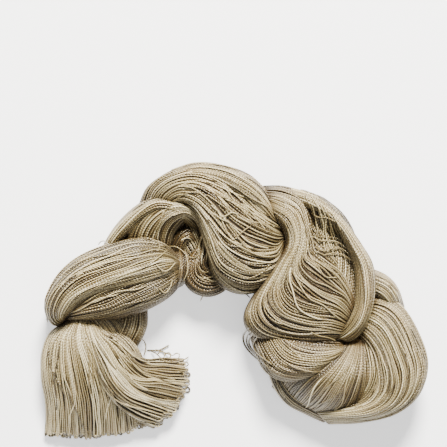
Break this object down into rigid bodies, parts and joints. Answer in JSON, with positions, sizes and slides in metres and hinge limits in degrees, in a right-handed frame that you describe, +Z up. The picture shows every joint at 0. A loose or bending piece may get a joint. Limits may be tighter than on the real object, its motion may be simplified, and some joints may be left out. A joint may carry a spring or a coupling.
{
  "type": "hank of silk yarn",
  "caption": "Hank of undyed silk yarn, loosely coiled into an arch on a surface, with twisted lobes and a fan of looped yarn ends.",
  "frame": {"origin": "middle of the hank's footprint, on the surface that it lies on", "axes": "+Z up from the surface, +X along the hank's length towards its folded tail, +Y towards the crown of its arch"},
  "size_m": [0.193, 0.1376, 0.0502],
  "materials": {
    "silk": "satin"
  },
  "bodies": {
    "root": {"hank": "silk"}
  },
  "joints": []
}
